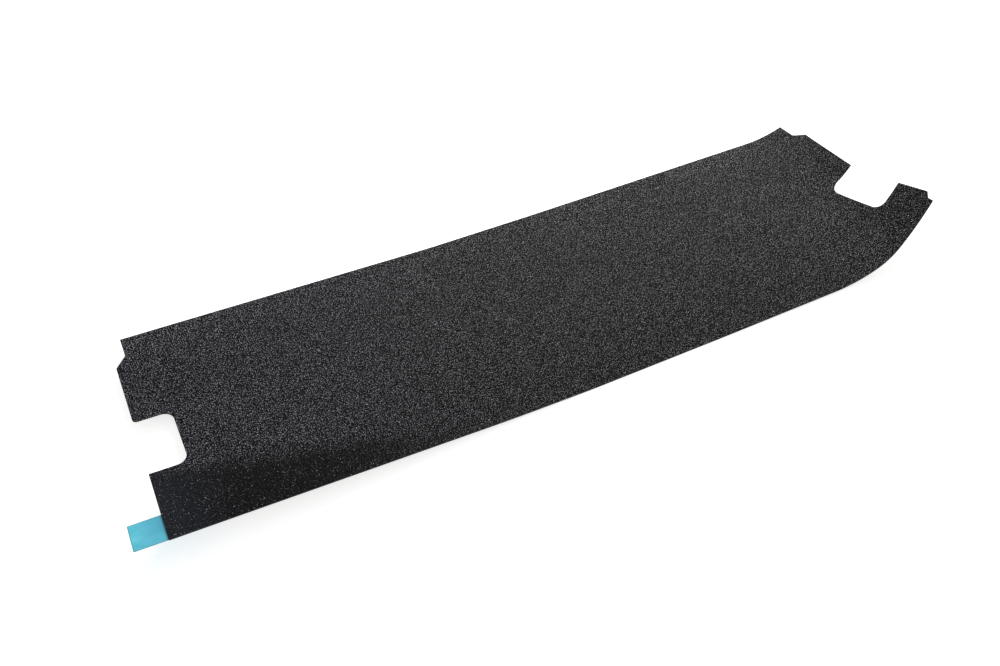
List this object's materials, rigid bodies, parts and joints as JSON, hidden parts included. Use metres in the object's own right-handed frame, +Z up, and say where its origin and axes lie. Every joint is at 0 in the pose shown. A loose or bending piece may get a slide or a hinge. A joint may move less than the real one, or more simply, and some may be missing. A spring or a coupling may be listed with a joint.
{
  "type": "adhesive grip sheet",
  "caption": "Long die-cut self-adhesive anti-slip sheet with a coarse grit face, notched ends, one end curled up, a peel-off liner and a pull tab at one corner.",
  "frame": {"origin": "on the underside of the sheet, in the middle of the flat part that it rests on", "axes": "+X along the sheet towards the curled end, +Y across it away from the pull tab's edge, +Z up out of the grit face"},
  "size_m": [0.5478, 0.1653, 0.0495],
  "materials": {
    "mineral_grit": "coarse black mineral grit with a few bright sparkling facets",
    "bond_resin": "black cured resin",
    "carrier_film": "black polymer film",
    "adhesive": "soft clear acrylic pressure-sensitive adhesive, dark over the black film behind it",
    "liner_paper": "smooth siliconised off-white paper",
    "tab_film": "turquoise slightly see-through film with faint streaks"
  },
  "bodies": {
    "liner": {"release_liner": "liner_paper", "tab_adhesive": "adhesive", "tab_anchor": "tab_film"},
    "pad": {"grit_coat": "mineral_grit", "bond_coat": "bond_resin", "carrier_film": "carrier_film", "adhesive_layer": "adhesive"},
    "tab": {"pull_tab": "tab_film"}
  },
  "joints": [
    {"name": "liner_peel", "type": "hinge", "parent": "liner", "child": "pad", "pos_m": [0.2577, -0.00474, 0.03161], "axis": [0.0891, 0.9603, -0.2643], "range_deg": [0, 100]},
    {"name": "tab_flex", "type": "hinge", "parent": "liner", "child": "tab", "pos_m": [-0.26695, -0.07272, 0.01288], "axis": [-0.0026, 0.9982, -0.0604], "range_deg": [-150, 80]}
  ]
}
